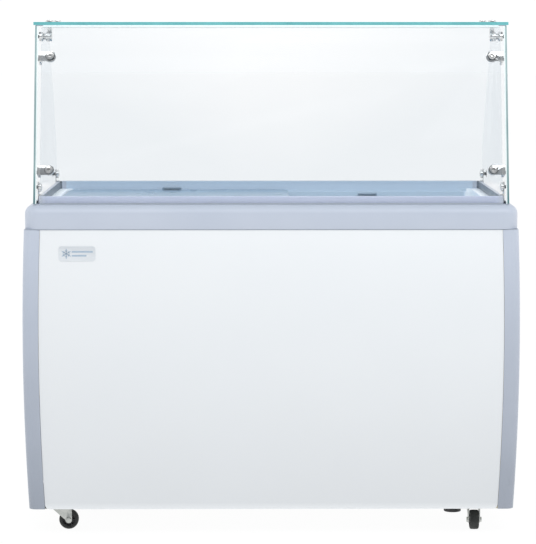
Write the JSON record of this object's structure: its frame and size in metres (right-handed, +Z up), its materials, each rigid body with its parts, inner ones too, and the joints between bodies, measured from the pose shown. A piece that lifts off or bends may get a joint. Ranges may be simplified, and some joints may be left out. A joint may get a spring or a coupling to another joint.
{
  "type": "glass-guard dipping chest freezer",
  "caption": "Chest freezer of the ice cream dipping kind: bowed insulated cabinet on swivel casters, sliding lids, sunken tank and a clear glass sneeze guard over the top.",
  "frame": {"origin": "on the floor under the middle of the cabinet", "axes": "+Z up, front (customer side) towards -Y, the operator's open side towards +Y, +X to the right seen from the front"},
  "size_m": [1.252, 0.673, 1.297],
  "materials": {
    "panel_paint": "satin",
    "frame_plastic": "satin",
    "lid_plastic": "satin",
    "pull_plastic": "satin",
    "tank_metal": "satin",
    "foam": "matte",
    "zinc": "satin",
    "chrome": "polished",
    "clear_glass": "gloss",
    "black_rubber": "matte",
    "grey_rubber": "matte",
    "black_plastic": "satin",
    "copper": "satin",
    "black_metal": "satin",
    "badge": "gloss",
    "display": "gloss"
  },
  "bodies": {
    "cabinet": {"side_panel_left": "panel_paint", "side_panel_right": "panel_paint", "front_panel": "panel_paint", "rear_panel": "panel_paint", "pillar_front_left": "frame_plastic", "pillar_front_right": "frame_plastic", "pillar_rear_left": "frame_plastic", "pillar_rear_right": "frame_plastic", "top_frame": "frame_plastic", "lid_collar": "frame_plastic", "inner_tank": "tank_metal", "insulation": "foam", "base_pan": "zinc", "badge_plate": "badge", "guard_side_glass_left": "clear_glass", "guard_side_glass_right": "clear_glass", "guard_front_glass": "clear_glass", "guard_top_glass": "clear_glass", "guard_seat": "grey_rubber", "guard_top_pads": "grey_rubber", "guard_clamps_upper": "chrome", "guard_clamps_lower": "chrome", "guard_top_clamps": "chrome", "guard_base_brackets": "chrome", "guard_bolts": "chrome", "caster_plates": "zinc", "drain_pipe": "black_plastic", "drain_cup": "black_plastic", "rear_grille": "black_plastic", "control_panel": "black_plastic", "thermostat": "black_plastic", "temperature_display": "display", "power_inlet_gland": "black_plastic", "compressor": "black_metal", "compressor_feet": "black_rubber", "condenser_coil": "black_metal", "fan_motor": "zinc", "refrigerant_line": "copper", "filter_drier": "copper", "rear_screws": "zinc"},
    "left_lid": {"lid_left": "lid_plastic", "lid_left_pull": "pull_plastic", "lid_left_grip": "lid_plastic", "lid_left_seal": "grey_rubber"},
    "right_lid": {"lid_right": "lid_plastic", "lid_right_pull": "pull_plastic", "lid_right_grip": "lid_plastic", "lid_right_seal": "grey_rubber"},
    "knob": {"thermostat_knob": "black_plastic"},
    "fan": {"fan_blades": "black_plastic"},
    "plug": {"drain_plug": "black_rubber"},
    "swivel_front_left": {"caster_fork_front_left": "zinc"},
    "wheel_front_left": {"caster_wheel_front_left": "black_rubber"},
    "swivel_front_right": {"caster_fork_front_right": "zinc"},
    "wheel_front_right": {"caster_wheel_front_right": "black_rubber"},
    "swivel_rear_left": {"caster_fork_rear_left": "zinc"},
    "wheel_rear_left": {"caster_wheel_rear_left": "black_rubber"},
    "swivel_rear_right": {"caster_fork_rear_right": "zinc"},
    "wheel_rear_right": {"caster_wheel_rear_right": "black_rubber"}
  },
  "joints": [
    {"name": "left_lid_slide", "type": "slide", "parent": "cabinet", "child": "left_lid", "axis": [1, 0, 0], "range_m": [0, 0.504]},
    {"name": "right_lid_slide", "type": "slide", "parent": "cabinet", "child": "right_lid", "axis": [-1, 0, 0], "range_m": [0, 0.504]},
    {"name": "swivel_front_left_turn", "type": "hinge", "parent": "cabinet", "child": "swivel_front_left", "pos_m": [-0.533, -0.2565, 0.06], "axis": [0, 0, 1], "continuous": true},
    {"name": "wheel_front_left_roll", "type": "hinge", "parent": "swivel_front_left", "child": "wheel_front_left", "pos_m": [-0.518, -0.2565, 0.025], "axis": [0, 1, 0], "continuous": true},
    {"name": "swivel_front_right_turn", "type": "hinge", "parent": "cabinet", "child": "swivel_front_right", "pos_m": [0.519, -0.2565, 0.06], "axis": [0, 0, 1], "continuous": true},
    {"name": "wheel_front_right_roll", "type": "hinge", "parent": "swivel_front_right", "child": "wheel_front_right", "pos_m": [0.519, -0.2715, 0.025], "axis": [1, 0, 0], "continuous": true},
    {"name": "swivel_rear_left_turn", "type": "hinge", "parent": "cabinet", "child": "swivel_rear_left", "pos_m": [-0.533, 0.2565, 0.06], "axis": [0, 0, 1], "continuous": true},
    {"name": "wheel_rear_left_roll", "type": "hinge", "parent": "swivel_rear_left", "child": "wheel_rear_left", "pos_m": [-0.533, 0.2715, 0.025], "axis": [-1, 0, 0], "continuous": true},
    {"name": "swivel_rear_right_turn", "type": "hinge", "parent": "cabinet", "child": "swivel_rear_right", "pos_m": [0.519, 0.2565, 0.06], "axis": [0, 0, 1], "continuous": true},
    {"name": "wheel_rear_right_roll", "type": "hinge", "parent": "swivel_rear_right", "child": "wheel_rear_right", "pos_m": [0.519, 0.2715, 0.025], "axis": [-1, 0, 0], "continuous": true},
    {"name": "thermostat_turn", "type": "hinge", "parent": "cabinet", "child": "knob", "pos_m": [-0.339, 0.322, 0.238], "axis": [0, -1, 0], "range_deg": [0, 270]},
    {"name": "fan_spin", "type": "hinge", "parent": "cabinet", "child": "fan", "pos_m": [-0.488, 0.199, 0.213], "axis": [0, 1, 0], "continuous": true},
    {"name": "drain_plug_lift", "type": "slide", "parent": "cabinet", "child": "plug", "axis": [0, 0, 1], "range_m": [0, 0.08]}
  ]
}
